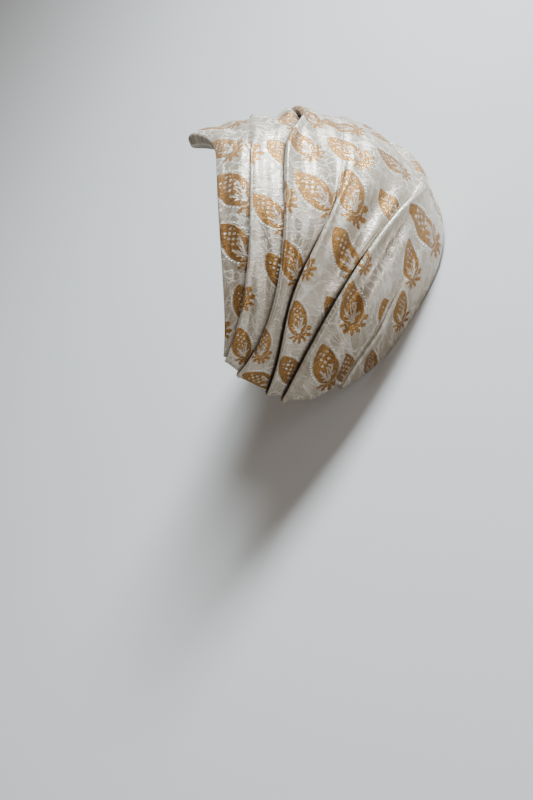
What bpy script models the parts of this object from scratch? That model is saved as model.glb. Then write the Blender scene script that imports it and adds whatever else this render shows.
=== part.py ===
"""Half hat: one pleated, saddle-shaped crown of brocade with a tongue over each ear.

The hat is shaped on an egg-shaped head form, then tilted back until it balances on its
rim, as it lies on a table. Metres, +Z up, front of the hat towards -Y, left ear at +X.
"""
from math import acos, atan2, cos, hypot, radians, sin

import bmesh
import bpy
import numpy as np

MM = 0.001

# Head form that the crown follows: an ellipsoid whose long axis rises to the back
HEAD_HALF_WIDTH = 78.5 * MM
HEAD_HALF_LENGTH = 100.0 * MM
HEAD_HALF_DEPTH = 81.2 * MM
HEAD_RISE = radians(25.0)
HEAD_CENTRE = np.array([0.0, -0.1, 3.5]) * MM

# Cloth over its stiff base
WALL = 1.8 * MM
FULL_PLEAT = 1.3 * MM           # pleat height that is solid cloth; above it the fold is hollow
EDGE_ROLL = 0.4 * MM            # how far the hems round off
CROWN_LOFT = 4.4 * MM           # how far the crown stands off the head
LOFT_FROM, LOFT_TO = 0.30, 0.92  # part of the way from crown to tongue where the loft fades

# The hat laid down
REST_TILT = radians(49.0)      # where it balances
REST_PRESS = 2.4 * MM           # how far the cloth rim flattens where it rests
PRESS_REACH = 16.0 * MM         # how far up the wall the flattening shows

HALF_COLUMNS = 24               # mesh columns from the crown to one tongue
SECTION_POINTS = 240            # fine points along half a line, before it is spaced evenly
HEM_ROW = 0.04                  # how far from each hem the next mesh row lies, in lines

# One row for each line that runs from tongue to tongue, front to back, in side view (mm):
# name, crown y, bend y, bend z, tongue y, tongue z, step at crown, at side, at tongue
LINES = (
    ("front_edge", -19.5, -13.6, 38.0, -15.9, 17.0, 0.0, 0.0, 0.0),
    ("first_fold", -2.6, -1.2, 47.0, -14.9, 15.2, 1.6, 1.9, 1.2),
    ("deep_fold", 12.5, 15.2, 41.0, -9.4, 8.1, 3.4, 2.6, 1.6),
    ("third_fold", 41.1, 28.8, 51.9, 5.0, -2.4, 0.9, 2.8, 1.8),
    ("fourth_fold", 75.0, 43.8, 74.3, 11.4, -6.5, 2.6, 3.0, 2.0),
    ("swell", 78.0, 52.5, 58.0, 25.0, -8.8, 0.0, 0.0, 0.0),
    ("fifth_fold", 81.5, 61.0, 43.0, 38.5, -4.2, 0.6, 1.7, 1.5),
    ("back_rim", 90.6, 81.0, 15.0, 47.0, -3.0, 0.0, 0.0, 0.0),
)
FOLDS = tuple(i for i, line in enumerate(LINES) if line[0].endswith("fold"))
SIDE_ALONG = 0.55               # part of the way to the tongue where "side" steps hold
STEP_FROM, STEP_TO = -0.04, 0.07  # where a fold steps up, as parts of its pleat's width
PLEAT_FALL = 0.9                # power of the slope behind the step

# Where mesh rows lie behind each line, as parts of the way to the next one
ROWS_AFTER_FOLD = (0.05, 0.16, 0.38, 0.62, 0.84, 1.0)
ROWS_AFTER_PLAIN = (0.12, 0.35, 0.6, 0.82, 1.0)

# Soft swellings and valleys of the cloth, each a smooth bump:
# name, line number, part of the way to a tongue (far side negative), height, spreads
SWELLS = (
    ("pinch_before_deep_fold", 1.86, -0.25, 3.2, 0.13, 0.10),
    ("pinch_behind_deep_fold", 2.10, -0.25, 2.6, 0.11, 0.10),
    ("dip_in_second_pleat", 1.55, -0.22, -2.0, 0.16, 0.16),
    ("front_roll", 0.0, -0.27, 3.4, 0.30, 0.15),
    ("dip_behind_front_roll", 0.45, -0.25, -1.6, 0.22, 0.16),
    ("crown_fullness", 3.10, -0.15, 2.4, 0.60, 0.30),
    ("crown_ridge", 3.35, 0.10, 1.2, 0.22, 0.22),
    ("crown_valley", 3.62, 0.30, -2.6, 0.16, 0.20),
    ("far_crown_valley", 3.82, -0.20, -2.4, 0.12, 0.14),
    ("valley_behind_fourth_fold", 4.45, 0.38, -2.4, 0.35, 0.16),
    ("side_roll", 2.55, 0.45, 1.2, 0.25, 0.22),
    ("far_side_roll", 2.55, -0.55, 1.2, 0.25, 0.22),
)

# Places where the cloth is drawn out of line, each a smooth bump:
# name, line number, part of the way to a tongue, shift to the back, spreads
PULLS = (
    ("front_edge_drawn_forward", 0.0, -0.36, -17.5, 0.55, 0.20),
    ("deep_fold_drawn_back", 2.0, -0.13, 8.4, 0.60, 0.17),
    ("third_fold_drawn_forward", 3.0, 0.60, -9.0, 0.50, 0.26),
    ("fifth_fold_drawn_back", 6.0, 0.72, 3.4, 0.50, 0.12),
)

CLOTH_COLOUR = (0.79, 0.75, 0.68, 1.0)
CLOTH_ROUGHNESS = 0.45
SHARP_EDGE = radians(50.0)


def smooth(low, high, value):
    """0 below low, 1 above high, and an even S between them."""
    t = np.clip((value - low) / (high - low), 0.0, 1.0)
    return t * t * (3.0 - 2.0 * t)


def head_axes():
    """Columns are the head form's semi-axes, so a unit ball maps onto it."""
    turn = np.array([[1.0, 0.0, 0.0],
                     [0.0, cos(HEAD_RISE), -sin(HEAD_RISE)],
                     [0.0, sin(HEAD_RISE), cos(HEAD_RISE)]])
    return turn @ np.diag([HEAD_HALF_WIDTH, HEAD_HALF_LENGTH, HEAD_HALF_DEPTH])


AXES = head_axes()
TO_BALL = np.linalg.inv(AXES)


def on_head(points):
    """Nearest-by-scaling points of the head form, and its outward normals there."""
    ball = (points - HEAD_CENTRE) @ TO_BALL.T
    ball /= np.linalg.norm(ball, axis=-1, keepdims=True)
    normals = ball @ TO_BALL
    normals /= np.linalg.norm(normals, axis=-1, keepdims=True)
    return ball @ AXES.T + HEAD_CENTRE, normals


def crown_angle(y):
    """Angle on the head's middle line, on its upper side, of the point at y."""
    reach = hypot(HEAD_HALF_LENGTH * cos(HEAD_RISE), HEAD_HALF_DEPTH * sin(HEAD_RISE))
    lag = atan2(HEAD_HALF_DEPTH * sin(HEAD_RISE), HEAD_HALF_LENGTH * cos(HEAD_RISE))
    return acos((y - HEAD_CENTRE[1]) / reach) - lag


def line_columns():
    """The table as arrays: crown angle, bend, tongue and steps of each line."""
    angles = np.array([crown_angle(line[1] * MM) for line in LINES])
    bends = np.array([line[2:4] for line in LINES]) * MM
    tongues = np.array([line[4:6] for line in LINES]) * MM
    steps = np.array([line[6:9] for line in LINES]) * MM
    return angles, bends, tongues, steps


ANGLES, BENDS, TONGUES, STEPS = line_columns()


def half_section(row, count):
    """One half of the line at row, on the head form from crown to tongue, evenly spaced."""
    place = np.arange(len(LINES))
    angle = np.interp(row, place, ANGLES)
    crown = AXES[1:, 1] * cos(angle) + AXES[1:, 2] * sin(angle) + HEAD_CENTRE[1:]
    bend = np.array([np.interp(row, place, BENDS[:, k]) for k in (0, 1)])
    tongue = np.array([np.interp(row, place, TONGUES[:, k]) for k in (0, 1)])
    way = np.linspace(0.0, 1.0, SECTION_POINTS)[:, None] ** 2
    side = (1 - way) ** 2 * crown + 2 * way * (1 - way) * bend + way ** 2 * tongue
    ball = (side - HEAD_CENTRE[1:]) @ TO_BALL[1:, 1:].T
    across = HEAD_HALF_WIDTH * np.sqrt(np.clip(1.0 - (ball ** 2).sum(axis=1), 0.0, 1.0))
    points = np.column_stack([across, side])
    length = np.concatenate([[0.0], np.cumsum(np.linalg.norm(np.diff(points, axis=0), axis=1))])
    even = np.linspace(0.0, length[-1], count + 1)
    return np.column_stack([np.interp(even, length, points[:, k]) for k in range(3)])


def pleat_height(row, along):
    """Height of the pleats above the base: a step up at each fold, then a slope down."""
    fold = max((i for i in FOLDS if i < row), default=None)
    if fold is None:
        return np.zeros_like(along)
    stops = [i for i in FOLDS if i > fold] + [len(LINES) - 1]
    part = (row - fold) / (stops[0] - fold)
    profile = smooth(STEP_FROM, STEP_TO, part) * (1.0 - part) ** PLEAT_FALL
    height = np.interp(np.abs(along), (0.0, SIDE_ALONG, 1.0), STEPS[fold])
    return height * profile


def bumps(table, row, along):
    """Sum of a table's smooth bumps."""
    total = np.zeros_like(along)
    for _, at_row, at_along, size, row_spread, along_spread in table:
        reach = ((row - at_row) / row_spread) ** 2 + ((along - at_along) / along_spread) ** 2
        total += size * MM * np.exp(-reach)
    return total


def soft_height(row, along):
    """Loft of the crown and the cloth's swellings and valleys."""
    edges = smooth(-0.15, 0.9, row) * smooth(-0.1, 2.2, len(LINES) - 1 - row)
    loft = CROWN_LOFT * edges * (1.0 - smooth(LOFT_FROM, LOFT_TO, np.abs(along)))
    return loft + bumps(SWELLS, row, along)


def mesh_rows():
    """Row positions: each line, with more rows behind it, close together at a fold."""
    rows = [0.0, HEM_ROW]
    for i in range(len(LINES) - 1):
        behind = ROWS_AFTER_FOLD if i in FOLDS else ROWS_AFTER_PLAIN
        rows += [i + part for part in behind]
    rows.insert(-1, len(LINES) - 1 - HEM_ROW)
    return rows


def surfaces():
    """Outer and inner grids of points, front to back by far tongue to near tongue."""
    along = np.linspace(-1.0, 1.0, 2 * HALF_COLUMNS + 1)
    last = len(LINES) - 1
    outer, inner = [], []
    for row in mesh_rows():
        near = half_section(row, HALF_COLUMNS)
        far = near[:0:-1] * np.array([-1.0, 1.0, 1.0])
        points = np.vstack([far, near])
        points[:, 1] += bumps(PULLS, row, along)
        base, normal = on_head(points)
        soft = soft_height(row, along)
        pleat = pleat_height(row, along)
        hollow = np.maximum(pleat - FULL_PLEAT, 0.0)
        hem = EDGE_ROLL * (row in (0.0, float(last)))
        outer.append(base + normal * (WALL + soft + pleat - hem)[:, None])
        inner.append(base + normal * (soft + hollow)[:, None])
    return np.array(outer), np.array(inner)


def lay_down(outer, inner):
    """Tilt both grids back, flatten the rim where it rests and put the origin below it."""
    turn = np.array([[1.0, 0.0, 0.0],
                     [0.0, cos(REST_TILT), sin(REST_TILT)],
                     [0.0, -sin(REST_TILT), cos(REST_TILT)]])
    grids = [outer @ turn.T, inner @ turn.T]
    floor = min(grid[..., 2].min() for grid in grids) + REST_PRESS
    pressed = []
    for grid in grids:
        rim = np.vstack([grid[-1], grid[:, 0], grid[:, -1]])
        rim = rim[rim[:, 2] < floor]
        gaps = np.linalg.norm(grid[:, :, None, :] - rim, axis=-1)
        lift = ((floor - rim[:, 2]) * (1.0 - smooth(0.0, PRESS_REACH, gaps))).max(axis=-1)
        pressed.append(grid + lift[..., None] * np.array([0.0, 0.0, 1.0]))
    grids = pressed
    for grid in grids:
        for edge in (grid[-1], grid[:, 0], grid[:, -1]):
            edge[:, 2] = np.maximum(edge[:, 2], floor)
    low = np.min([grid.min(axis=(0, 1)) for grid in grids], axis=0)
    high = np.max([grid.max(axis=(0, 1)) for grid in grids], axis=0)
    origin = np.array([(low[0] + high[0]) / 2, (low[1] + high[1]) / 2, floor])
    return [grid - origin for grid in grids]


def cloth_material():
    """Ivory brocade, plain here."""
    material = bpy.data.materials.new("ivory_brocade")
    material.use_nodes = True
    shader = material.node_tree.nodes["Principled BSDF"]
    shader.inputs["Base Color"].default_value = CLOTH_COLOUR
    shader.inputs["Roughness"].default_value = CLOTH_ROUGHNESS
    shader.inputs["Metallic"].default_value = 0.0
    return material


def build_crown():
    """Closed wall: the outer and inner grids joined round the edge."""
    outer, inner = lay_down(*surfaces())
    rows, columns = outer.shape[:2]
    shape = bmesh.new()
    skins = [[[shape.verts.new(point) for point in line] for line in grid] for grid in (outer, inner)]
    top, under = skins
    for r in range(rows - 1):
        for c in range(columns - 1):
            shape.faces.new((top[r][c], top[r][c + 1], top[r + 1][c + 1], top[r + 1][c]))
            shape.faces.new((under[r][c], under[r + 1][c], under[r + 1][c + 1], under[r][c + 1]))
    edge = [(0, c) for c in range(columns - 1)]
    edge += [(r, columns - 1) for r in range(rows - 1)]
    edge += [(rows - 1, c) for c in range(columns - 1, 0, -1)]
    edge += [(r, 0) for r in range(rows - 1, 0, -1)]
    for (r, c), (r2, c2) in zip(edge, edge[1:] + edge[:1]):
        shape.faces.new((top[r][c], under[r][c], under[r2][c2], top[r2][c2]))
    bmesh.ops.triangulate(shape, faces=shape.faces[:])
    bmesh.ops.recalc_face_normals(shape, faces=shape.faces[:])
    mesh = bpy.data.meshes.new("pleated_crown")
    shape.to_mesh(mesh)
    shape.free()
    mesh.shade_smooth()
    mesh.set_sharp_from_angle(angle=SHARP_EDGE)
    mesh.materials.append(cloth_material())
    crown = bpy.data.objects.new("pleated_crown", mesh)
    bpy.context.scene.collection.objects.link(crown)
    return crown


def main():
    for old in list(bpy.data.objects):
        bpy.data.objects.remove(old, do_unlink=True)
    build_crown()


main()
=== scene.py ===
"""Half hat of pleated ivory and gold brocade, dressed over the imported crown.

The crown is shaped as in the CAD source, with the folds rolled over and undercut, hems and
drag wrinkles. Metres, +Z up, front of the hat towards -Y, wearer's left at +X.
"""
from math import acos, atan2, cos, hypot, pi, radians, sin

import bmesh
import bpy
import numpy as np
from mathutils import Matrix, Vector


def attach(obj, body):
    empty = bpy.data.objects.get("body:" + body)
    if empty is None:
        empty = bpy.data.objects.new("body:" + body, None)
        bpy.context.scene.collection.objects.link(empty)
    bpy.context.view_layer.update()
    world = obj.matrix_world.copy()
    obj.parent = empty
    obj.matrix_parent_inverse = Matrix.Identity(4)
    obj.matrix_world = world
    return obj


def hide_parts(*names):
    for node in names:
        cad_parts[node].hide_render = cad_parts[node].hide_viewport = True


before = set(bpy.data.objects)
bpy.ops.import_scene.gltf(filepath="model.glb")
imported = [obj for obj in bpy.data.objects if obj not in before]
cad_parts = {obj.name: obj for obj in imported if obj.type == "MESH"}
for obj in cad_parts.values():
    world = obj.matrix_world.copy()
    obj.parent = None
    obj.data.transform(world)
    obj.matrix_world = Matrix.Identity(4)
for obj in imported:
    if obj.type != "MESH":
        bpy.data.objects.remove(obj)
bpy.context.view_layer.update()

MM = 0.001

# Head form that the crown follows, as in the CAD source
HEAD_HALF_WIDTH = 78.5 * MM
HEAD_HALF_LENGTH = 100.0 * MM
HEAD_HALF_DEPTH = 81.2 * MM
HEAD_RISE = radians(25.0)
HEAD_CENTRE = np.array([0.0, -0.1, 3.5]) * MM

WALL = 1.8 * MM
CROWN_LOFT = 4.4 * MM
LOFT_FROM, LOFT_TO = 0.30, 0.92     # parts of the way to a tongue where the loft fades out
LOFT_FRONT, LOFT_BACK = (-0.15, 0.9), (-0.1, 2.2)    # line numbers from each edge, where it rises

REST_TILT = radians(49.0)
PRESS_REACH = 16.0 * MM
REST_ORIGIN = np.array([0.041, 54.136, -42.928]) * MM   # the CAD's origin, on the tilted hat

# name, crown y, bend y, bend z, tongue y, tongue z, step at crown, at side, at tongue (mm)
LINES = (
    ("front_edge", -19.5, -13.6, 38.0, -15.9, 17.0, 0.0, 0.0, 0.0),
    ("first_fold", -2.6, -1.2, 47.0, -14.9, 15.2, 1.6, 1.9, 1.2),
    ("deep_fold", 12.5, 15.2, 41.0, -9.4, 8.1, 3.4, 2.6, 1.6),
    ("third_fold", 41.1, 28.8, 51.9, 5.0, -2.4, 0.9, 2.8, 1.8),
    ("fourth_fold", 75.0, 43.8, 74.3, 11.4, -6.5, 2.6, 3.0, 2.0),
    ("swell", 78.0, 52.5, 58.0, 25.0, -8.8, 0.0, 0.0, 0.0),
    ("fifth_fold", 81.5, 61.0, 43.0, 38.5, -4.2, 0.6, 1.7, 1.5),
    ("back_rim", 90.6, 81.0, 15.0, 47.0, -3.0, 0.0, 0.0, 0.0),
)
LAST = len(LINES) - 1
FOLDS = tuple(i for i, line in enumerate(LINES) if line[0].endswith("fold"))
STOPS = (0,) + FOLDS + (LAST,)          # lines that bound a pleat
PLEATS = len(STOPS) - 1
PLEAT_ROWS = (16, 12, 14, 22, 24, 12)   # mesh rows on the open part of each pleat
SIDE_PART = 0.55                        # part of the way to a tongue of the steps at the side
HALF_LINE = 128.0                       # rough length of a line from crown to tongue (mm)

# name, line number, part of the way to a tongue (far side negative), height (mm), spreads
SWELLS = (
    ("pinch_before_deep_fold", 1.86, -0.25, 3.2, 0.13, 0.10),
    ("pinch_behind_deep_fold", 2.10, -0.25, 2.6, 0.11, 0.10),
    ("dip_in_second_pleat", 1.55, -0.22, -2.0, 0.16, 0.16),
    ("front_roll", 0.0, -0.27, 3.4, 0.30, 0.15),
    ("dip_behind_front_roll", 0.45, -0.25, -1.6, 0.22, 0.16),
    ("crown_fullness", 3.10, -0.15, 2.4, 0.60, 0.30),
    ("crown_ridge", 3.35, 0.10, 1.2, 0.22, 0.22),
    ("crown_valley", 3.62, 0.30, -2.6, 0.16, 0.20),
    ("far_crown_valley", 3.82, -0.20, -2.4, 0.12, 0.14),
    ("valley_behind_fourth_fold", 4.45, 0.38, -2.4, 0.35, 0.16),
    ("side_roll", 2.55, 0.45, 1.2, 0.25, 0.22),
    ("far_side_roll", 2.55, -0.55, 1.2, 0.25, 0.22),
)
# Extra fullness of the cloth itself over the CAD's wall, in the same terms
FULLNESS = (
    ("far_front_fullness", 0.35, -0.27, 3.4, 0.35, 0.15),
    ("first_pinch", 1.72, -0.22, 2.6, 0.19, 0.13),
    ("deep_fold_lowered", 2.05, -0.26, -2.0, 0.10, 0.13),
    ("second_pinch", 2.28, -0.22, 2.0, 0.14, 0.12),
    ("valley_down_third_pleat", 3.55, 0.42, -2.5, 0.20, 0.22),
    ("ridge_down_third_pleat", 3.30, 0.30, 2.0, 0.16, 0.22),
    ("ridge_down_fourth_pleat", 5.10, 0.58, 2.5, 0.45, 0.26),
    ("valley_down_fourth_pleat", 4.62, 0.66, -2.3, 0.25, 0.22),
    ("hollow_by_back_rim", 6.45, 0.62, -1.2, 0.25, 0.22),
)
# How far a line is drawn towards the back of the hat, in the same terms
PULLS = (
    ("front_edge_drawn_forward", 0.0, -0.36, -17.5, 0.55, 0.20),
    ("deep_fold_drawn_back", 2.0, -0.13, 8.4, 0.60, 0.17),
    ("third_fold_drawn_forward", 3.0, 0.60, -9.0, 0.50, 0.26),
    ("fifth_fold_drawn_back", 6.0, 0.72, 3.4, 0.50, 0.12),
)
# How far the cloth's folds stray back from the CAD's lines, in the same terms
STRAYS = (
    ("fifth_fold_strays_back", 6.0, 0.40, 4.6, 0.45, 0.13),
)

# Open groove in front of each fold: widths at these parts of the way to a tongue, and
# depth (mm)
GROOVE_PLACES = (0.02, 0.15, 0.40, 0.60, 1.0)
GROOVES = {
    "first_fold": (0.3, 0.3, 0.3, 0.3, 0.2, 1.2),
    "deep_fold": (2.0, 1.0, 0.4, 0.3, 0.3, 2.5),
    "third_fold": (0.2, 0.2, 0.5, 1.5, 0.9, 2.4),
    "fourth_fold": (0.2, 0.2, 0.3, 0.7, 0.7, 2.0),
    "fifth_fold": (0.2, 0.2, 0.3, 0.3, 0.3, 1.0),
}
# Where each fold turns from a soft swelling near the crown into a crisp roll, as parts of the
# way to a tongue, and how crisp it gets
CRISP = {
    "first_fold": (0.0, 0.12, 1.0),
    "deep_fold": (-1.0, -0.5, 1.0),
    "third_fold": (0.06, 0.36, 1.0),
    "fourth_fold": (0.02, 0.22, 1.0),
    "fifth_fold": (0.30, 0.85, 0.75),
}
SOFT_REACH = 4.5 * MM           # how far a soft fold spreads to each side
FAR_SOFTER = 0.25               # how much later a fold turns crisp on the far side
FULL_DEPTH_GAP = 0.7 * MM       # a groove narrower than this is shallower
UNDERCUT = 1.6 * MM
FULL_SIZE_WIDTH = 8.0 * MM      # a pleat narrower than this has a smaller fold

# Section of a fold from front to back. Across is in parts of the groove, of the roll and of
# the undercut; height is in parts of the groove's depth (down) and of the fold's step
FOLD_SECTION = (
    # name, groove, roll, undercut, depth, step
    ("front_pleat_end", -1.0, -0.6, 0.0, 0.0, 0.0),
    ("groove_lip", -1.0, 0.2, 0.0, 0.08, 0.0),
    ("groove_wall", -0.96, 0.5, 0.0, 0.5, 0.0),
    ("groove_foot", -0.85, 0.8, 0.0, 0.95, 0.0),
    ("under_roll", 0.0, 1.0, 0.1, 1.0, 0.0),
    ("undercut", 0.0, 1.0, 0.7, 1.0, 0.0),
    ("undercut_end", 0.0, 1.0, 1.0, 0.8, 0.07),
    ("undercut_roof", 0.0, 1.0, 0.6, 0.5, 0.17),
    ("roll_start", 0.0, 0.75, 0.1, 0.1, 0.28),
    ("roll_lower", 0.0, 0.25, 0.0, 0.0, 0.44),
    ("roll_front", 0.0, 0.0, 0.0, 0.0, 0.62),
    ("roll_upper", 0.0, 0.12, 0.0, 0.0, 0.80),
    ("roll_shoulder", 0.0, 0.5, 0.0, 0.0, 0.92),
    ("roll_crest", 0.0, 1.1, 0.0, 0.0, 0.99),
    ("roll_back", 0.0, 1.9, 0.0, 0.0, 1.0),
)
FRONT_TO = 2                    # section rows before this one end the pleat in front
REAR_FROM = 5                   # section rows from here on belong to the pleat behind
BACK_FROM = len(FOLD_SECTION) - 2    # section rows from here on begin that pleat's slope
ROLL_LEAST, ROLL_OF_STEP = 0.25 * MM, 0.30
LEAST_DEPTH, LEAST_SIZE = 0.35, 0.2    # of a narrow groove, and of a fold on a narrow pleat
UNDERCUT_FADES = (0.9, 1.0)     # parts of the way to a tongue

HEM_RINGS = (0.0, 0.12, 0.35, 0.7, 1.2)    # mesh rows and columns close to a hem (mm)
HEM_GAP = 0.009                 # gap between them and the even columns, part of the way
HEM_RADIUS, HEM_LEAST = 1.0 * MM, 0.06    # rounding of a hem, and how thin its edge gets
NOTCH = 1.7 * MM                # how far each pleat's end stands out beyond the one before
NOTCH_FROM = 0.90               # part of the way to the tongue where the notches begin
ROLL_SHARE, ROLL_FALL = 0.42, 4.0 * MM   # part of a pleat's height that falls close to its fold
ROLL_EXTRA = 0.30               # extra height of the roll itself, in parts of its step
SLOPE_POWER = 0.9               # how evenly the rest of the height falls to the next fold
HOLLOW, HOLLOW_REACH = 0.8 * MM, 5.5 * MM  # how far a pleat sinks just before the next fold
HOLLOW_WIDTH = 2.5              # a pleat narrower than this many reaches sinks less
CALM_FROM, CALM_TO = 0.5 * MM, 5.0 * MM    # drag wrinkles rise this far from a fold or tongue
WRINKLED_WIDTH = 1.8            # pleats below this many full widths have lower wrinkles
# Crease along the back hem: distance from the hem, width, depth, and where it comes in
CREASE_PLACE, CREASE_WIDTH, CREASE_DEPTH = 4.0 * MM, 0.6 * MM, 0.3 * MM
CREASE_FROM, CREASE_TO = 0.15, 0.4
PLEAT_OFFSET = 7.0 * MM         # shift of the woven ground from one pleat to the next
INSIDE_SHARE = 0.35             # how much of the swellings the inner skin follows
INSIDE_DROP = 0.9 * MM          # how far the inner skin lies inside the CAD's
HALF_COLUMNS = 104
NET_ROWS = 24                   # rows of the base net between two lines
SIDE_SAMPLES = 240              # points on half a line when its length is measured
ROW_STEP = 0.02                 # part of a line's distance, for directions across

# The bud motif, one row for each place it shows: name, pleat, line number, part of the way to
# a tongue, turn of its tip from the crown (degrees, to the front negative), length (mm)
BUDS = (
    ("A", 0, 0.20, 0.00, -26, 22.6),
    ("B", 0, 0.44, 0.27, -38, 26.2),
    ("C", 1, 0.62, 0.06, -26, 24.0),
    ("D", 1, 1.54, 0.38, -43, 19.8),
    ("E", 1, 1.92, 0.11, -47, 22.4),
    ("F", 2, 2.18, 0.07, -46, 19.8),
    ("G", 2, 2.52, 0.27, -52, 23.4),
    ("H", 2, 1.68, 0.29, -32, 19.7),
    ("I", 0, 0.48, 0.51, -34, 22.6),
    ("J", 2, 2.26, 0.53, -30, 18.9),
    ("K", 1, 1.96, 0.58, -41, 18.8),
    ("L0", 0, 1.00, 0.75, -24, 17.5),
    ("L", 1, 0.38, 0.68, -32, 19.5),
    ("M", 0, -0.60, 0.82, -24, 18.0),
    ("N", 1, 1.38, 0.89, -30, 16.4),
    ("O", 2, 2.10, 0.83, -14, 15.0),
    ("P", 2, 2.64, 0.97, -81, 18.0),
    ("Q", 3, 3.26, 0.68, -24, 17.3),
    ("R", 3, 2.42, 0.50, -37, 16.6),
    ("S", 3, 3.50, 0.43, -58, 21.5),
    ("T", 3, 3.14, 0.24, -27, 23.2),
    ("U", 3, 2.96, 0.07, -49, 20.9),
    ("U_front", 2, 2.96, 0.07, -49, 20.9),
    ("U2_front", 2, 2.82, -0.08, -62, 18.5),
    ("V", 3, 3.54, 0.04, -84, 17.0),
    ("W", 3, 3.84, 0.22, -64, 18.7),
    ("X", 4, 3.78, 0.43, -58, 14.3),
    ("Y", 4, 5.84, 0.22, -87, 25.9),
    ("Z", 4, 5.76, 0.40, -49, 19.3),
    ("Y_back", 5, 5.84, 0.22, -87, 25.9),
    ("Z_back", 5, 5.76, 0.40, -49, 19.3),
    ("AA", 4, 4.52, 0.60, -35, 20.7),
    ("AB", 5, 6.40, 0.59, -45, 17.9),
    ("AB2", 4, 6.12, 0.64, -48, 19.4),
    ("AC", 4, 4.84, 0.83, -36, 22.8),
    ("AD", 3, 3.72, 0.88, -47, 20.7),
    ("AE", 3, 4.26, 0.64, -56, 17.9),
    ("AF", 5, 6.62, 0.86, -48, 15.0),
    ("AG", 4, 5.82, 0.89, -40, 20.4),
    ("U2", 3, 2.82, -0.08, -62, 18.5),
    ("V2", 3, 3.50, -0.10, -95, 17.0),
    ("X2", 4, 4.24, -0.05, -60, 18.0),
    ("Y2", 5, 6.30, 0.00, -75, 18.0),
    ("E2", 1, 1.74, -0.13, -20, 20.0),
    ("F2", 2, 2.10, -0.13, -30, 18.0),
)
MIRROR_FROM = 0.13              # buds farther out than this have a partner on the far side
BEFORE_EDGE = 10.0 * MM         # length of one line number in front of the front edge
ACROSS_COUNTS, LIFT_COUNTS = 1.3, 0.2    # in the choice of the nearest bud
NO_BUD = 9.0                    # coordinate of faces without buds
# Strokes of the ivory twig in a bud: from, to (across, down, in bud lengths), half width
TWIG = (
    ((0.02, 0.93), (-0.13, 0.62), 0.036),
    ((0.03, 0.92), (0.15, 0.50), 0.034),
    ((0.02, 0.86), (0.03, 0.57), 0.021),
    ((-0.04, 0.82), (-0.13, 0.78), 0.027),
    ((-0.03, 0.80), (-0.04, 0.69), 0.024),
    ((0.07, 0.80), (0.18, 0.71), 0.028),
    ((0.09, 0.70), (0.06, 0.57), 0.022),
    ((-0.01, 0.88), (-0.10, 0.90), 0.023),
)
BUD_MIDDLE = (0.06, 0.10)       # middle of bud and leaves together, from the bud's own middle
BUD_AXIS, LEAF_ROOT = 0.02, 0.95    # across and down, in bud lengths
DOT_PITCH, BEAD_PITCH, THREAD_PITCH = 0.150, 0.065, 0.030    # in bud lengths
FINGER_TURN, TOOTH_PITCH = 0.68, 0.27    # of the leaves: radians, and parts of their reach
RIB_PITCH, LINING_PITCH = 0.75, 0.9      # mm
DEEPEST = 2.0                   # most that the depth layer tells, mm

# Linear colours of the cloth, the painted shade in its grooves, the lining, the floor and the
# surround
IVORY_LIGHT, IVORY_DEEP = (0.42, 0.365, 0.29, 1.0), (0.31, 0.26, 0.19, 1.0)
GRAIN_SHADE = (0.17, 0.138, 0.098, 1.0)
VINE_WHITE, STITCH_WHITE = (0.72, 0.70, 0.65, 1.0), (0.85, 0.84, 0.80, 1.0)
GOLD_DARK, GOLD_LIGHT = (0.10, 0.042, 0.010, 1.0), (0.28, 0.128, 0.032, 1.0)
GOLD_GLINT = (0.95, 0.62, 0.20, 1.0)
# Painted shade: the cloth's colour turns towards this deep in the fold grooves
PAINTED_GROOVE_SHADE = (0.10, 0.075, 0.05, 1.0)
LINING_DEEP, LINING_LIGHT = (0.44, 0.40, 0.33, 1.0), (0.54, 0.50, 0.43, 1.0)
FLOOR_DEEP, FLOOR_LIGHT = (0.42, 0.415, 0.41, 1.0), (0.45, 0.445, 0.435, 1.0)
SURROUND, SURROUND_STRENGTH = (1.0, 0.88, 0.74, 1.0), 0.26

# Real heights of the bumps
CRIMP_HEIGHT, WEAVE_HEIGHT, VINE_HEIGHT = 0.4 * MM, 0.14 * MM, 0.10 * MM
STITCH_HEIGHT, GOLD_HEIGHT, LINING_HEIGHT = 0.22 * MM, 0.18 * MM, 0.12 * MM

# Name, place, size (m), power (W), colour
LIGHTS = (
    ("window", (-0.60, 0.82, 0.78), 0.45, 82.0, (0.84, 0.93, 1.0)),
    ("front", (0.30, -0.95, 0.95), 0.30, 2.0, (0.96, 0.98, 1.0)),
    ("side", (0.85, 1.05, 0.22), 0.60, 15.0, (0.98, 0.98, 1.0)),
)
LIGHTS_AIM = (0.0, 0.0, 0.06)
FLOOR_REACH = 8.0               # half the floor's side (m)

# Camera of the photo, in the frame of the hat as worn
CAMERA_PLACE = np.array([823.0, 4.3, 509.1]) * MM
CAMERA_DOWN = radians(34.769)
LENS, SENSOR = 85.0, 36.0       # mm, on the long side of the frame


def smooth(low, high, value):
    """0 below low, 1 above high, and an even S between them."""
    t = np.clip((value - low) / (high - low), 0.0, 1.0)
    return t * t * (3.0 - 2.0 * t)


def head_axes():
    """Columns are the head form's semi-axes, so a unit ball maps onto it."""
    turn = np.array([[1.0, 0.0, 0.0],
                     [0.0, cos(HEAD_RISE), -sin(HEAD_RISE)],
                     [0.0, sin(HEAD_RISE), cos(HEAD_RISE)]])
    return turn @ np.diag([HEAD_HALF_WIDTH, HEAD_HALF_LENGTH, HEAD_HALF_DEPTH])


AXES = head_axes()
TO_BALL = np.linalg.inv(AXES)


def on_head(points):
    """Nearest-by-scaling points of the head form, and its outward normals there."""
    ball = (points - HEAD_CENTRE) @ TO_BALL.T
    ball /= np.linalg.norm(ball, axis=-1, keepdims=True)
    normals = ball @ TO_BALL
    normals /= np.linalg.norm(normals, axis=-1, keepdims=True)
    return ball @ AXES.T + HEAD_CENTRE, normals


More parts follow.
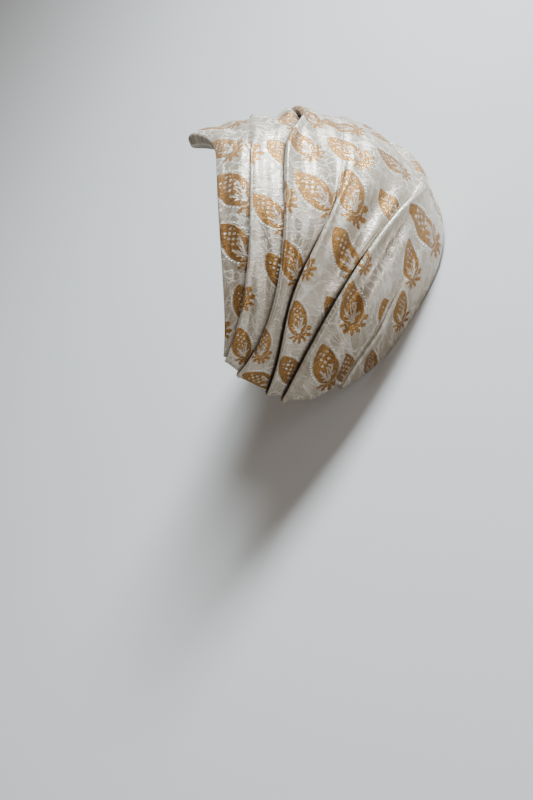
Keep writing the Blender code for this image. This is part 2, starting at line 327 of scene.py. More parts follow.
def crown_angle(y):
    """Angle on the head's middle line, on its upper side, of the point at y."""
    reach = hypot(HEAD_HALF_LENGTH * cos(HEAD_RISE), HEAD_HALF_DEPTH * sin(HEAD_RISE))
    lag = atan2(HEAD_HALF_DEPTH * sin(HEAD_RISE), HEAD_HALF_LENGTH * cos(HEAD_RISE))
    return acos((y - HEAD_CENTRE[1]) / reach) - lag


PLACE = np.arange(len(LINES))
ANGLES = np.array([crown_angle(line[1] * MM) for line in LINES])
BENDS = np.array([line[2:4] for line in LINES]) * MM
TONGUES = np.array([line[4:6] for line in LINES]) * MM
STEPS = np.array([line[6:9] for line in LINES]) * MM


def lengths_along(points):
    """Length of the way to each point from the first."""
    return np.concatenate([[0.0], np.cumsum(np.linalg.norm(np.diff(points, axis=0), axis=1))])


def half_section(row, parts):
    """One half of the line at row, on the head form, at these parts of its length."""
    angle = np.interp(row, PLACE, ANGLES)
    crown = AXES[1:, 1] * cos(angle) + AXES[1:, 2] * sin(angle) + HEAD_CENTRE[1:]
    bend = np.array([np.interp(row, PLACE, BENDS[:, k]) for k in (0, 1)])
    tongue = np.array([np.interp(row, PLACE, TONGUES[:, k]) for k in (0, 1)])
    way = np.linspace(0.0, 1.0, SIDE_SAMPLES)[:, None] ** 2
    side = (1 - way) ** 2 * crown + 2 * way * (1 - way) * bend + way ** 2 * tongue
    ball = (side - HEAD_CENTRE[1:]) @ TO_BALL[1:, 1:].T
    across = HEAD_HALF_WIDTH * np.sqrt(np.clip(1.0 - (ball ** 2).sum(axis=1), 0.0, 1.0))
    points = np.column_stack([across, side])
    length = lengths_along(points)
    return np.column_stack([np.interp(parts * length[-1], length, points[:, k]) for k in range(3)])


def bumps(table, row, along):
    """Sum of the smooth bumps in a table."""
    total = np.zeros(np.broadcast(row, along).shape)
    for _, at_row, at_along, size, row_spread, along_spread in table:
        reach = ((row - at_row) / row_spread) ** 2 + ((along - at_along) / along_spread) ** 2
        total += size * MM * np.exp(-reach)
    return total


def soft_height(row, along):
    """Loft of the crown and the cloth's swellings and valleys."""
    edges = smooth(*LOFT_FRONT, row) * smooth(*LOFT_BACK, LAST - row)
    loft = CROWN_LOFT * edges * (1.0 - smooth(LOFT_FROM, LOFT_TO, np.abs(along)))
    return loft + bumps(SWELLS, row, along)


def by_part(values, along):
    """Values given at crown, side and tongue, for every column."""
    return np.interp(np.abs(along), (0.0, SIDE_PART, 1.0), values)


def column_parts():
    """Where the columns lie between the far tongue (-1) and the near one (1)."""
    near_hem = 1.0 - np.array(HEM_RINGS[::-1]) / HALF_LINE
    half = np.concatenate([np.linspace(0.0, near_hem[0] - HEM_GAP, HALF_COLUMNS), near_hem])
    return np.concatenate([-half[:0:-1], half])


def base_net(along):
    """The head form under the hat: row numbers, points by row and column, way across."""
    rows = np.linspace(0.0, LAST, LAST * NET_ROWS + 1)
    half = along[along >= 0.0]
    net = []
    for row in rows:
        near = half_section(row, half)
        far = near[:0:-1] * np.array([-1.0, 1.0, 1.0])
        points = np.vstack([far, near])
        points[:, 1] += bumps(PULLS + STRAYS, row, along)
        net.append(on_head(points)[0])
    net = np.array(net)
    ways = np.linalg.norm(np.diff(net, axis=0), axis=-1)
    return rows, net, np.concatenate([np.zeros((1, len(along))), np.cumsum(ways, axis=0)])


def rows_at(way, rows, ways):
    """Row numbers where each column has gone this way across."""
    return np.array([np.interp(way[c], ways[:, c], rows) for c in range(len(way))])


def points_at(row, net):
    """Base points at a row number for each column, and the normals there."""
    spot = np.clip(row * NET_ROWS, 0.0, len(net) - 1.001)
    low = spot.astype(int)
    part = (spot - low)[:, None]
    column = np.arange(net.shape[1])
    return on_head(net[low, column] * (1.0 - part) + net[low + 1, column] * part)


def pleat_profile(way, width):
    """How a pleat's height falls from its fold to the next: a roll, then a long slope."""
    slope = np.clip(1.0 - way / width, 0.0, 1.0) ** SLOPE_POWER
    roll = np.exp(-(np.maximum(way, 0.0) / ROLL_FALL) ** 2)
    return slope * (1.0 - ROLL_SHARE + (ROLL_SHARE + ROLL_EXTRA) * roll)


def hollow(way, width):
    """How far a pleat sinks just before the next fold."""
    size = np.clip(width / (HOLLOW_WIDTH * HOLLOW_REACH), 0.0, 1.0)
    return HOLLOW * size * np.exp(-((width - way) / HOLLOW_REACH) ** 2)


def crispness(name, along):
    """How much of a fold is a crisp roll and not a soft swelling, 0 to 1."""
    crisp_from, crisp_to, crispest = CRISP[name]
    reach = np.where(along < 0.0, -along - FAR_SOFTER, along)
    return smooth(crisp_from, crisp_to, reach) * crispest


def soft_fold(part, size, before, step, width_before, width):
    """Way across and height of a soft swelling, at a part of its section."""
    across = SOFT_REACH * size * (2.0 * part - 1.0)
    ahead = before * pleat_profile(width_before + across, width_before)
    ahead = ahead - hollow(width_before + np.minimum(across, 0.0), width_before)
    behind = step * pleat_profile(across, width)
    swell = smooth(0.0, 1.0, part)
    return across, ahead * (1.0 - swell) + behind * swell


def slide_cloth(found):
    """Sets the cloth's shift, so that the cloth is as long as the way round the fold."""
    for n in range(len(found) - 2, REAR_FROM - 1, -1):
        here, behind = found[n], found[n + 1]
        run = np.hypot(here[1] - behind[1], here[2] - behind[2])
        here[3] = behind[1] + behind[3] - run - here[1]


def fold_rows(k, starts, along):
    """Rows of the fold that opens pleat k: pleat number, way across, height, cloth shift."""
    name = LINES[STOPS[k]][0]
    step, before = by_part(STEPS[STOPS[k]], along), by_part(STEPS[STOPS[k - 1]], along)
    gap = np.interp(np.abs(along), GROOVE_PLACES, GROOVES[name][:-1]) * MM
    depth = GROOVES[name][-1] * MM * np.clip(gap / FULL_DEPTH_GAP, LEAST_DEPTH, 1.0)
    width_before, width = starts[k] - starts[k - 1], starts[k + 1] - starts[k]
    size = np.clip(np.minimum(width_before, width) / FULL_SIZE_WIDTH, LEAST_SIZE, 1.0)
    under = UNDERCUT * size * (1.0 - smooth(*UNDERCUT_FADES, np.abs(along)))
    roll = (ROLL_LEAST + ROLL_OF_STEP * step) * size
    crisp = crispness(name, along)
    found = []
    for n, (_, in_gap, in_roll, in_under, in_depth, in_step) in enumerate(FOLD_SECTION):
        across = gap * size * in_gap + roll * in_roll + under * in_under
        height = step * in_step * (1.0 + ROLL_EXTRA) - depth * in_depth * size
        if n < FRONT_TO:
            height = height + before * pleat_profile(width_before + across, width_before)
            height = height - hollow(width_before + across, width_before)
        if n >= BACK_FROM:
            height = height * pleat_profile(across, width)
        part = n / (len(FOLD_SECTION) - 1)
        soft_across, soft = soft_fold(part, size, before, step, width_before, width)
        across = across * crisp + soft_across * (1.0 - crisp)
        height = height * crisp + soft * (1.0 - crisp)
        found.append([k if n >= REAR_FROM else k - 1, starts[k] + across, height,
                      np.zeros_like(across)])
    slide_cloth(found)
    return found


def pleat_rows(k, first, last, starts, along):
    """Rows of the open part of pleat k, between the ways first and last."""
    step = by_part(STEPS[STOPS[k]], along)
    parts = np.linspace(0.0, 1.0, PLEAT_ROWS[k] + 2)[1:-1]
    found = []
    for part in 0.5 - 0.5 * np.cos(pi * parts) * (0.35 + 0.65 * np.abs(2 * parts - 1)):
        way = first + (last - first) * part
        width = starts[k + 1] - starts[k]
        height = step * pleat_profile(way - starts[k], width)
        if k + 1 < PLEATS:
            height = height - hollow(way - starts[k], width)
        found.append([k, way, height, np.zeros_like(way)])
    return found


def all_rows(ways, along):
    """Every row of the outer skin from the front hem to the back hem."""
    starts = [ways[line * NET_ROWS] for line in STOPS]
    rings = np.array(HEM_RINGS) * MM
    flat = np.zeros_like(along)
    found = [[0, starts[0] + ring, flat, flat] for ring in rings]
    for k in range(PLEATS):
        closing = k + 1 < PLEATS
        after = fold_rows(k + 1, starts, along) if closing else None
        last = after[0][1] if closing else starts[-1] - rings[-1]
        found += pleat_rows(k, found[-1][1], last, starts, along)
        if closing:
            found += after
    back = PLEATS - 1
    step = by_part(STEPS[STOPS[back]], along)
    for ring in rings[::-1]:
        way = starts[-1] - ring
        fall = pleat_profile(way - starts[back], starts[-1] - starts[back])
        found.append([back, way, step * fall, flat])
    return found, starts


def even_ways(rows):
    """The same rows laid side by side in order, for the inner skin."""
    ways = [row[1] for row in rows]
    rising = [0]
    for n in range(1, len(ways)):
        if np.all(ways[n] > ways[rising[-1]]) and np.all(ways[n] <= np.min(ways[n:], axis=0)):
            rising.append(n)
    spread = np.arange(len(ways))
    table = np.array([ways[n] for n in rising])
    return np.array([np.interp(spread, rising, table[:, c]) for c in range(table.shape[1])]).T


def notches(k, way, starts, along):
    """How far each pleat's end stands out at a tongue: most at its fold, least at the next."""
    part = np.clip((way - starts[k]) / (starts[k + 1] - starts[k]), 0.0, 1.0)
    return NOTCH * (0.5 - part) * smooth(NOTCH_FROM, 1.0, np.abs(along)) * np.sign(along)


def drag_wrinkles(pleat, way, arc, size):
    """Soft ripples that run along the pleats, lower on a narrow one."""
    s, a = way / MM, arc / MM
    broad = np.sin(2 * pi * (s / 13.0 + 0.45 * np.sin(a / 31.0 + 1.3 * pleat)) + 2.0 * pleat)
    wide = np.sin(2 * pi * (s / 7.3 + 0.35 * np.sin(a / 23.0 + 1.7 * pleat)) + pleat)
    fine = np.sin(2 * pi * (s / 4.1 + 0.5 * np.sin(a / 15.0 - pleat) + 0.2 * np.sin(a / 7.0)))
    lengthwise = np.sin(a / 11.0 + 0.6 * np.sin(s / 5.0) + 2.1 * pleat)
    patchy = 0.5 + 0.5 * np.sin(a / 17.0 + s / 9.0 + 0.8 * pleat)
    ripple = 0.42 * broad + 0.22 * wide * patchy + 0.11 * fine * (1.0 - 0.6 * patchy)
    return (ripple + 0.20 * lengthwise) * size * MM


def hem_curve(way):
    """How thick the wall is near a hem: thin at the very edge, full one radius in."""
    t = np.clip(way / HEM_RADIUS, 0.0, 1.0)
    return np.sqrt(np.clip(1.0 - (1.0 - t) ** 2, HEM_LEAST, 1.0))


def outer_height(pleat, row, way, height, arc, end, starts, along):
    """Height of the outer skin over the head form in one row."""
    total = starts[-1]
    fold_way = np.min([np.abs(way - start) for start in starts], axis=0)
    calm = smooth(CALM_FROM, CALM_TO, np.minimum(fold_way, end))
    width = starts[pleat + 1] - starts[pleat]
    size = np.clip(width / FULL_SIZE_WIDTH / WRINKLED_WIDTH, LEAST_SIZE, 1.0)
    crease = np.exp(-((total - way - CREASE_PLACE) / CREASE_WIDTH) ** 2)
    top = WALL + soft_height(row, along) + height
    top += calm * drag_wrinkles(pleat, way, arc, size) + bumps(FULLNESS, row, along)
    return top - CREASE_DEPTH * crease * smooth(CREASE_FROM, CREASE_TO, np.abs(along))


def inner_height(row, along, hem):
    """Height of the inner skin over the head form in one row, up in the wall at the hems."""
    swell = bumps(SWELLS, row, along)
    low = soft_height(row, along) - swell + np.where(swell > 0.0, INSIDE_SHARE, 1.0) * swell
    return low - INSIDE_DROP + (WALL / 2 + INSIDE_DROP) * (1.0 - hem)


def unit(vectors):
    """The same directions, with length one."""
    return vectors / np.linalg.norm(vectors, axis=1, keepdims=True)


def skins():
    """Grids of the outer and inner skin as worn and of the cloth's own places, with each
    row's pleat, the depth in the grooves, the columns' parts and the base net."""
    along = column_parts()
    rows, net, ways = base_net(along)
    found, starts = all_rows(ways, along)
    inside = even_ways(found)
    outer, inner, cloth, flat = [], [], [], []
    for n, (pleat, way, height, shift) in enumerate(found):
        row = rows_at(way, rows, ways)
        base, normal = points_at(row, net)
        arc = lengths_along(base)
        arc -= arc[len(arc) // 2]
        end = np.minimum(arc - arc[0], arc[-1] - arc)
        hem = hem_curve(way) * hem_curve(starts[-1] - way) * hem_curve(end)
        top = outer_height(pleat, row, way, height, arc, end, starts, along)
        half = (top - soft_height(row, along)) / 2
        out = unit(np.gradient(base, axis=0)) * notches(pleat, way, starts, along)[:, None]
        outer.append(base + out + normal * (top - half * (1.0 - hem))[:, None])
        row_in = rows_at(inside[n], rows, ways)
        base_in, normal_in = points_at(row_in, net)
        inner.append(base_in + out + normal_in * inner_height(row_in, along, hem)[:, None])
        ahead, behind = row - ROW_STEP, np.minimum(row + ROW_STEP, LAST)
        backward = unit(points_at(behind, net)[0] - points_at(ahead, net)[0])
        cloth.append(base + backward * shift[:, None])
        flat.append(np.column_stack([arc, way + shift + PLEAT_OFFSET * pleat]))
    pleats = np.array([row[0] for row in found])
    depth = np.clip(-np.array([row[2] for row in found]) / MM, 0.0, DEEPEST)
    grids = [np.array(grid) for grid in (outer, inner, cloth, flat)]
    return grids, pleats, depth, along, net


def rest_turn():
    """Rotation from the hat as worn to the hat laid down."""
    return np.array([[1.0, 0.0, 0.0],
                     [0.0, cos(REST_TILT), sin(REST_TILT)],
                     [0.0, -sin(REST_TILT), cos(REST_TILT)]])


def laid_down(grid):
    """A grid tilted back, its rim flattened where it rests, as in the CAD source."""
    grid = grid @ rest_turn().T
    floor = REST_ORIGIN[2]
    rim = np.vstack([grid[-1], grid[:, 0], grid[:, -1]])
    rim = rim[rim[:, 2] < floor]
    near = grid[..., 2] < floor + 2 * PRESS_REACH
    some = grid[near]
    gaps = np.linalg.norm(some[:, None, :] - rim, axis=-1)
    lift = ((floor - rim[:, 2]) * (1.0 - smooth(0.0, PRESS_REACH, gaps))).max(axis=-1)
    some[:, 2] = np.maximum(some[:, 2] + lift, floor)
    grid[near] = some
    return grid - REST_ORIGIN


def bud_frames(along, net):
    """Pleat, middle, right and down directions and length of every bud."""
    far = [(name + "_far", k, row, -part, turn, size)
           for name, k, row, part, turn, size in BUDS if part > MIRROR_FROM]
    frames = []
    for _, k, row, part, turn, size in BUDS + tuple(far):
        column = int(np.clip(np.searchsorted(along, part), 1, len(along) - 2))
        here = np.full(len(along), max(row, ROW_STEP))
        centre = points_at(here, net)[0][column]
        down = points_at(here, net)[0][column + 1] - points_at(here, net)[0][column - 1]
        back = points_at(here + ROW_STEP, net)[0][column]
        back = back - points_at(here - ROW_STEP, net)[0][column]
        down /= np.linalg.norm(down)
        back -= (back @ down) * down
        back /= np.linalg.norm(back)
        if row < 0.0:
            centre = centre + back * row * BEFORE_EDGE
        a = radians(turn)
        frames.append((k, centre, back * cos(a) + down * sin(a), down * cos(a) - back * sin(a),
                       size * MM))
    return frames


def bud_places(pleat, corners, frames):
    """For faces of one pleat: their corners in the frame of the nearest bud, in its lengths."""
    own = [f for f in frames if f[0] == pleat]
    centre = np.array([f[1] for f in own])
    right = np.array([f[2] for f in own])
    down = np.array([f[3] for f in own])
    size = np.array([f[4] for f in own])
    middle = corners.mean(axis=1)
    gap = middle[:, None, :] - centre
    x = (gap * right).sum(-1) / size - BUD_MIDDLE[0]
    y = (gap * down).sum(-1) / size - BUD_MIDDLE[1]
    lift = np.linalg.norm(gap, axis=-1) / size
    best = np.argmin(np.hypot(x * ACROSS_COUNTS, y) + LIFT_COUNTS * lift, axis=1)
    gap = corners - centre[best][:, None, :]
    x = (gap * right[best][:, None, :]).sum(-1) / size[best][:, None]
    y = (gap * down[best][:, None, :]).sum(-1) / size[best][:, None]
    return np.stack([x, y + 0.5], axis=-1)


def quads(rows, columns, first, flip):
    """Corner numbers of a grid's faces."""
    r, c = np.meshgrid(np.arange(rows - 1), np.arange(columns - 1), indexing="ij")
    at = first + r * columns + c
    loop = [at, at + 1, at + columns + 1, at + columns]
    return np.stack(loop[::-1] if flip else loop, axis=-1).reshape(-1, 4)


def edge_walk(rows, columns):
    """Corner numbers all round the border of a grid."""
    walk = list(range(columns - 1))
    walk += [r * columns + columns - 1 for r in range(rows - 1)]
    walk += [(rows - 1) * columns + c for c in range(columns - 1, 0, -1)]
    walk += [r * columns for r in range(rows - 1, 0, -1)]
    return np.array(walk)


def closed_faces(rows, columns, walk):
    """Faces of the outer grid, of the inner one, and of the border between them."""
    count = rows * columns
    after = np.roll(walk, -1)
    border = np.stack([walk, walk + count, after + count, after], axis=-1)
    return np.vstack([quads(rows, columns, 0, False), quads(rows, columns, count, True), border])


def bud_layer(faces, pleats, walk, columns, cloth, frames):
    """Bud coordinates for every corner of the outer faces and of the border."""
    found = np.full((len(faces), 4, 2), NO_BUD)
    outer = np.repeat(pleats[1:], columns - 1)
    border = pleats[np.minimum(walk // columns + 1, len(pleats) - 1)]
    of_face = np.concatenate([outer, np.full(len(outer), -1), border])
    for k in range(PLEATS):
        mine = np.flatnonzero(of_face == k)
        found[mine] = bud_places(k, cloth[faces[mine]], frames)
    return found


def build_crown():
    """The whole hat as one closed mesh with its two coordinate layers and its depth layer."""
    (outer, inner, cloth, flat), pleats, depth, along, net = skins()
    rows, columns = outer.shape[:2]
    count = rows * columns
    points = np.vstack([laid_down(grid).reshape(-1, 3) for grid in (outer, inner)])
    walk = edge_walk(rows, columns)
    faces = closed_faces(rows, columns, walk)
    mesh = bpy.data.meshes.new("pleated_brocade")
    mesh.from_pydata(points.tolist(), [], faces.tolist())
    cloth = np.vstack([cloth.reshape(-1, 3)] * 2)
    buds = bud_layer(faces, pleats, walk, columns, cloth, bud_frames(along, net))
    write_layer(mesh, "bud", buds.reshape(-1, 2))
    places = np.vstack([flat.reshape(-1, 2)] * 2)
    write_layer(mesh, "cloth", places[faces].reshape(-1, 2) / MM)
    layer = mesh.attributes.new("depth", "FLOAT", "POINT")
    layer.data.foreach_set("value", np.concatenate([depth.ravel(), np.zeros(count)]))
    slots = np.zeros(len(faces), dtype=np.int32)
    side = (rows - 1) * (columns - 1)
    slots[side:2 * side] = 1
    mesh.polygons.foreach_set("material_index", slots)
    mesh.update()
    face_out(mesh)
    mesh.shade_smooth()
    crown = bpy.data.objects.new("pleated_brocade", mesh)
    bpy.context.scene.collection.objects.link(crown)
    return crown


def write_layer(mesh, name, values):
    """One coordinate layer, a value for each corner of each face."""
    layer = mesh.uv_layers.new(name=name)
    layer.data.foreach_set("uv", np.ascontiguousarray(values, dtype=np.float32).ravel())


def face_out(mesh):
    """All faces of a closed mesh point out."""
    shape = bmesh.new()
    shape.from_mesh(mesh)
    bmesh.ops.recalc_face_normals(shape, faces=shape.faces[:])
    shape.to_mesh(mesh)
    shape.free()


class Field:
    """A number that varies over a surface, used in sums like any number."""

    def __init__(self, tree, socket):
        self.tree = tree
        self.socket = socket

    def math(self, operation, *others, clamp=False):
        node = self.tree.nodes.new("ShaderNodeMath")
        node.operation = operation
        node.use_clamp = clamp
        for slot, value in zip(node.inputs, (self,) + others):
            plug(self.tree, value, slot)
        return Field(self.tree, node.outputs[0])

    def __add__(self, other):
        return self.math("ADD", other)

    def __sub__(self, other):
        return self.math("SUBTRACT", other)

    def __mul__(self, other):
        return self.math("MULTIPLY", other)

    def __truediv__(self, other):
        return self.math("DIVIDE", other)

    def __abs__(self):
        return self.math("ABSOLUTE")

    def power(self, other):
        return self.math("POWER", other)

    def most(self, other):
        return self.math("MAXIMUM", other)

    def cosine(self):
        return self.math("COSINE")

    def clipped(self):
        return self.math("ADD", 0.0, clamp=True)

    def inverse(self):
        return self.math("MULTIPLY_ADD", -1.0, 1.0)

    def rise(self, low, high):
        """0 below low and 1 above high, or the other way round where low is the greater."""
        node = self.tree.nodes.new("ShaderNodeMapRange")
        node.interpolation_type = "SMOOTHSTEP"
        plug(self.tree, self, node.inputs["Value"])
        swapped = low > high
        node.inputs["From Min"].default_value = min(low, high)
        node.inputs["From Max"].default_value = max(low, high)
        node.inputs["To Min"].default_value = 1.0 if swapped else 0.0
        node.inputs["To Max"].default_value = 0.0 if swapped else 1.0
        return Field(self.tree, node.outputs["Result"])


def plug(tree, value, slot):
    """Links a field to a node's input, or sets a plain number there."""
    if isinstance(value, Field):
        tree.links.new(value.socket, slot)
    else:
        slot.default_value = value


def waves(value, pitch, ahead=None):
    """Cosine waves of a pitch, moved ahead by an angle."""
    angle = value * (2 * pi / pitch)
    return (angle if ahead is None else angle + ahead).cosine()


def layer_fields(tree, name):
    """Both coordinates of a mesh layer."""
    node = tree.nodes.new("ShaderNodeUVMap")
    node.uv_map = name
    split = tree.nodes.new("ShaderNodeSeparateXYZ")
    tree.links.new(node.outputs["UV"], split.inputs["Vector"])
    return Field(tree, split.outputs["X"]), Field(tree, split.outputs["Y"])


def depth_field(tree):
    """How deep in a fold's groove the surface lies, in millimetres."""
    node = tree.nodes.new("ShaderNodeAttribute")
    node.attribute_name = "depth"
    return Field(tree, node.outputs["Fac"])


def vector_of(tree, x, y, z=0.0):
    """A vector from up to three fields."""
    node = tree.nodes.new("ShaderNodeCombineXYZ")
    for slot, value in zip(node.inputs, (x, y, z)):
        plug(tree, value, slot)
    return node.outputs["Vector"]


def noise(tree, vector, scale, detail=2.0, roughness=0.5):
    """Smooth noise around one half."""
    node = tree.nodes.new("ShaderNodeTexNoise")
    tree.links.new(vector, node.inputs["Vector"])
    node.inputs["Scale"].default_value = scale
    node.inputs["Detail"].default_value = detail
    node.inputs["Roughness"].default_value = roughness
    return Field(tree, node.outputs["Fac"])


def cells(tree, vector, scale, feature):
    """Distance in a net of random cells: to the edge, or to the middle."""
    node = tree.nodes.new("ShaderNodeTexVoronoi")
    node.voronoi_dimensions = "2D"
    node.feature = feature
    tree.links.new(vector, node.inputs["Vector"])
    node.inputs["Scale"].default_value = scale
    return Field(tree, node.outputs["Distance"])


def mix_colour(tree, part, first, second):
    """Colour between two, each a colour or a socket."""
    node = tree.nodes.new("ShaderNodeMix")
    node.data_type = "RGBA"
    node.clamp_factor = True
    plug(tree, part, node.inputs[0])
    for slot, colour in ((node.inputs[6], first), (node.inputs[7], second)):
        if isinstance(colour, tuple):
            slot.default_value = colour
        else:
            tree.links.new(colour, slot)
    return node.outputs[2]


def bump(tree, height, distance, before=None):
    """Bump from a height field of 0 to 1 and a real height."""
    node = tree.nodes.new("ShaderNodeBump")
    node.inputs["Strength"].default_value = 1.0
    node.inputs["Distance"].default_value = distance
    plug(tree, height, node.inputs["Height"])
    if before is not None:
        tree.links.new(before, node.inputs["Normal"])
    return node.outputs["Normal"]


def bud_width(t):
    """Half the bud's width at a part of its length, in its lengths."""
    low = t.clipped()
    return low.power(0.72) * low.inverse().power(0.56) * 0.66


def stroke(x, t, start, end, thick):
    """A straight stroke between two points of the bud, thinner towards its end."""
    along_x, along_t = end[0] - start[0], end[1] - start[1]
    length = hypot(along_x, along_t)
    run = ((x - start[0]) * (along_x / length) + (t - start[1]) * (along_t / length))
    off = abs((x - start[0]) * (along_t / length) - (t - start[1]) * (along_x / length))
    inside = run.rise(-0.012, 0.004) * run.rise(length + 0.012, length - 0.004)
    return (run * (-0.35 * thick / length) + thick - off).rise(0.0, 0.010) * inside


def twig(x, t):
    """Ivory twig in the lower half of a bud."""
    found = None
    for start, end, thick in TWIG:
        one = stroke(x, t, start, end, thick)
        found = one if found is None else found.most(one)
    return found


def dots(x, t):
    """Small ivory dots in the upper half of a bud, on a diamond net."""
    wave = waves(x - BUD_AXIS, DOT_PITCH) * waves(t, DOT_PITCH)
    near = abs(x - BUD_AXIS).rise(0.140, 0.120)
    return wave.rise(0.24, 0.48) * near * t.rise(0.20, 0.22) * t.rise(0.60, 0.58)


def leaves(x, t, outside):
    """Gold leaves: feathery fingers fanned round the base and up the bud's right side."""
    side, low = x - BUD_AXIS, t - LEAF_ROOT
    radius = (side * side + low * low).power(0.5)
    turn = side.math("ARCTAN2", low)
    reach = turn.rise(0.8, 1.9) * 0.10 + 0.28
    part = radius / reach
    finger = waves(turn, FINGER_TURN, 0.5)
    teeth = waves(part, TOOTH_PITCH) * 0.42
    shape = (finger - part * 2.5 + teeth + 2.34).rise(0.0, 0.22)
    shape = shape * part.rise(1.04, 0.98)
    return shape * turn.rise(-1.55, -1.45) * turn.rise(2.55, 2.45) * outside


def motif(x, t):
    """Masks of the bud: gold parts, and the raised white stitches round it."""
    width = bud_width(t)
    edge = width - abs(x)
    body = edge.rise(0.0, 0.012)
    outside = (edge * -1.0).rise(0.012, 0.026).most(t.rise(1.005, 1.020))
    ivory = dots(x, t).most(twig(x, t)) * edge.rise(0.030, 0.042)
    gold = (body * ivory.inverse()).most(leaves(x, t, outside))
    ring = (edge * -1.0).rise(0.02, 0.03) * (edge * -1.0).rise(0.060, 0.050)
    beads = waves(t, BEAD_PITCH).rise(0.0, 0.4)
    left = t.rise(0.25, 0.32) * t.rise(0.97, 0.93) * x.rise(0.02, -0.02)
    right = t.rise(0.10, 0.14) * t.rise(0.62, 0.56) * x.rise(-0.02, 0.02)
    return gold, ring * beads * left.most(right)


def vine_lines(tree, u, v):
    """Thin wandering lines of the ground's own pattern, and small rings on it."""
    place = vector_of(tree, u, v)
    bend = noise(tree, place, 0.22, 2.0)
    moved = vector_of(tree, u + bend * 6.0, v + bend * 5.0)
    winding = abs(noise(tree, moved, 0.075, 1.0) - 0.5).rise(0.018, 0.008)
    other = abs(noise(tree, vector_of(tree, v + 40.0, u - bend * 5.0), 0.085, 1.0) - 0.48)
    net = cells(tree, moved, 0.10, "DISTANCE_TO_EDGE").rise(0.036, 0.016)
    some = noise(tree, place, 0.06, 1.0).rise(0.42, 0.50)
    rings = abs(cells(tree, place, 0.085, "F1") - 0.085).rise(0.026, 0.012)
    return winding.most(other.rise(0.016, 0.007)).most(net * some).most(rings)


def shader_material(name):
    """New material with its tree and shader."""
    material = bpy.data.materials.new(name)
    material.use_nodes = True
    tree = material.node_tree
    return material, tree, tree.nodes["Principled BSDF"]


def crimp_lines(tree, u, v, place):
    """Fine creases of the cloth, which wander slowly."""
    wander = (noise(tree, place, 0.08, 1.0) - 0.5) * 8.0
    return noise(tree, vector_of(tree, u * 0.9 + wander, v * 0.16), 0.55, 2.0, 0.6)


def ground_colour(tree, place, grain, vines, stitches):
    """Ivory ground: cloudy and grained, with paler vines and white stitches."""
    cloudy = noise(tree, place, 0.06, 2.0)
    ground = mix_colour(tree, cloudy.rise(0.35, 0.7), IVORY_LIGHT, IVORY_DEEP)
    ground = mix_colour(tree, grain.rise(0.35, 0.70) * 0.72, ground, GRAIN_SHADE)
    ground = mix_colour(tree, vines * 0.28, ground, VINE_WHITE)
    return mix_colour(tree, stitches * 0.85, ground, STITCH_WHITE)


def gold_colour(tree, place, thread, glint):
    """Gold thread in patches, with bright glints."""
    patchy = noise(tree, place, 1.1, 2.0)
    shade = (thread * 0.35 + patchy * 0.85).rise(0.30, 0.95)
    metal = mix_colour(tree, shade, GOLD_DARK, GOLD_LIGHT)
    return mix_colour(tree, glint * 0.75, metal, GOLD_GLINT)


def brocade_material():
    """Ivory satin with its own woven lines, gold buds, and painted shade deep in the fold grooves.
    """
    material, tree, shader = shader_material("ivory_gold_brocade")
    x, t = layer_fields(tree, "bud")
    u, v = layer_fields(tree, "cloth")
    place = vector_of(tree, u, v)
    jitter = noise(tree, place, 1.3, 2.0) - 0.5
    gold, stitches = motif(x + jitter * 0.050, t + jitter * 0.040)
    vines = vine_lines(tree, u, v) * gold.inverse()
    grain = noise(tree, vector_of(tree, u * 2.4 - v * 0.5, v * 0.45 + u * 0.15), 0.9, 3.0, 0.7)
    thread = waves(t + x * 0.45, THREAD_PITCH) * 0.5 + 0.5
    glint = noise(tree, place, 3.4, 1.0).rise(0.56, 0.70)
    ground = ground_colour(tree, place, grain, vines, stitches)
    colour = mix_colour(tree, gold, ground, gold_colour(tree, place, thread, glint))
    # Painted shade: the colour darkens with the groove's depth, where the light does not reach
    painted_shade_part = depth_field(tree).rise(0.15, 1.5) * 0.9
    colour = mix_colour(tree, painted_shade_part, colour, PAINTED_GROOVE_SHADE)
    tree.links.new(colour, shader.inputs["Base Color"])
    plug(tree, gold * 0.46 + 0.40, shader.inputs["Metallic"])
    rough = grain * 0.22 + 0.20 + vines * 0.28 + gold * (glint * -0.36 + 0.26)
    plug(tree, rough, shader.inputs["Roughness"])
    shader.inputs["Sheen Weight"].default_value = 0.15
    shader.inputs["Sheen Roughness"].default_value = 0.4
    shader.inputs["IOR"].default_value = 1.7
    ribs = waves(u * 0.95 + v * 0.30, RIB_PITCH, grain * 4.0) * 0.5 + 0.5
    normal = bump(tree, crimp_lines(tree, u, v, place), CRIMP_HEIGHT)
    normal = bump(tree, ribs * 0.35 + grain * 0.65, WEAVE_HEIGHT, normal)
    normal = bump(tree, vines, VINE_HEIGHT, normal)
    normal = bump(tree, stitches, STITCH_HEIGHT, normal)
    normal = bump(tree, gold * (thread * 0.35 + 0.65), GOLD_HEIGHT, normal)
    tree.links.new(normal, shader.inputs["Normal"])
    return material


def lining_material():
    """Plain ivory cotton inside."""
    material, tree, shader = shader_material("plain_ivory_lining")
    u, v = layer_fields(tree, "cloth")
    slub = noise(tree, vector_of(tree, u, v), 0.5, 3.0)
    weave = waves(u, LINING_PITCH) * waves(v, LINING_PITCH) * 0.5 + 0.5
    tone = (weave * 0.4 + slub * 0.6).rise(0.2, 0.8)
    colour = mix_colour(tree, tone, LINING_DEEP, LINING_LIGHT)
    tree.links.new(colour, shader.inputs["Base Color"])
    shader.inputs["Roughness"].default_value = 0.85
    shader.inputs["Sheen Weight"].default_value = 0.1
    normal = bump(tree, weave * 0.6 + slub * 0.4, LINING_HEIGHT)
    tree.links.new(normal, shader.inputs["Normal"])
    return material


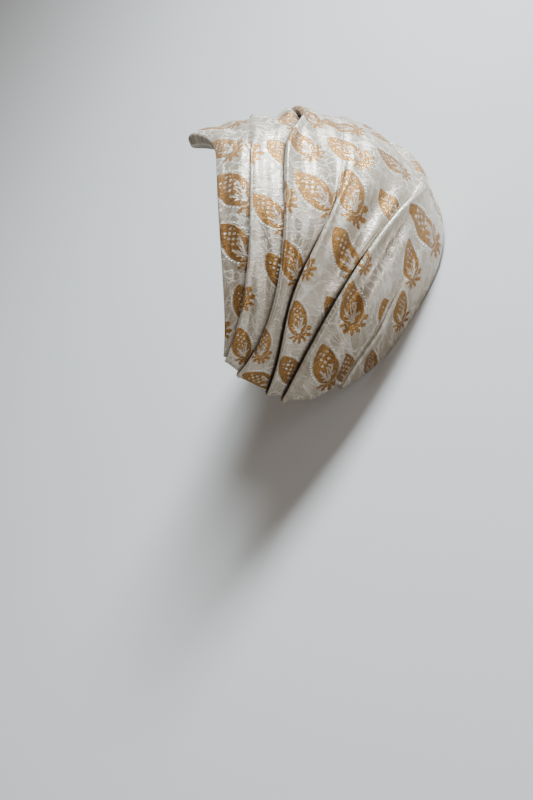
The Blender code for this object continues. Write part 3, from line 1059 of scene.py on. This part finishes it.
def floor_material():
    """Plain matt pale floor."""
    material, tree, shader = shader_material("pale_floor")
    where = tree.nodes.new("ShaderNodeTexCoord")
    soft = noise(tree, where.outputs["Object"], 3.0, 3.0)
    colour = mix_colour(tree, soft, FLOOR_DEEP, FLOOR_LIGHT)
    tree.links.new(colour, shader.inputs["Base Color"])
    shader.inputs["Roughness"].default_value = 0.9
    shader.inputs["Specular IOR Level"].default_value = 0.2
    return material


def build_floor():
    """Large level floor that the hat lies on."""
    mesh = bpy.data.meshes.new("floor")
    ring = ((-1, -1), (1, -1), (1, 1), (-1, 1))
    corners = [(x * FLOOR_REACH, y * FLOOR_REACH, 0.0) for x, y in ring]
    mesh.from_pydata(corners, [], [(0, 1, 2, 3)])
    mesh.materials.append(floor_material())
    floor = bpy.data.objects.new("floor", mesh)
    bpy.context.scene.collection.objects.link(floor)


def place_camera():
    """The photo's camera, which has turned with the hat as it was laid down."""
    turn = rest_turn()
    look = turn @ np.array([-cos(CAMERA_DOWN), 0.0, -sin(CAMERA_DOWN)])
    up = turn @ np.array([-sin(CAMERA_DOWN), 0.0, cos(CAMERA_DOWN)])
    right = turn @ np.array([0.0, 1.0, 0.0])
    place = turn @ CAMERA_PLACE - REST_ORIGIN
    data = bpy.data.cameras.new("camera")
    data.lens = LENS
    data.sensor_width = SENSOR
    data.clip_start, data.clip_end = 0.05, 50.0
    camera = bpy.data.objects.new("camera", data)
    bpy.context.scene.collection.objects.link(camera)
    matrix = Matrix([list(row) for row in np.column_stack([right, up, -look])]).to_4x4()
    matrix.translation = Vector(place)
    camera.matrix_world = matrix
    bpy.context.scene.camera = camera


def area_light(name, place, size, power, colour):
    """Soft square light aimed at the hat."""
    data = bpy.data.lights.new(name, "AREA")
    data.shape = "SQUARE"
    data.size = size
    data.energy = power
    data.color = colour
    light = bpy.data.objects.new(name, data)
    light.location = place
    aim = Vector(LIGHTS_AIM) - Vector(place)
    light.rotation_euler = aim.to_track_quat("-Z", "Y").to_euler()
    bpy.context.scene.collection.objects.link(light)


def light_studio():
    """Cool light from behind and above, two fainter ones, and a warm surround."""
    for light in LIGHTS:
        area_light(*light)
    world = bpy.data.worlds.new("studio")
    world.use_nodes = True
    background = world.node_tree.nodes["Background"]
    background.inputs["Color"].default_value = SURROUND
    background.inputs["Strength"].default_value = SURROUND_STRENGTH
    bpy.context.scene.world = world


def main():
    crown = build_crown()
    crown.data.materials.append(brocade_material())
    crown.data.materials.append(lining_material())
    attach(crown, "root")
    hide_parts("pleated_crown")
    build_floor()
    place_camera()
    light_studio()


main()
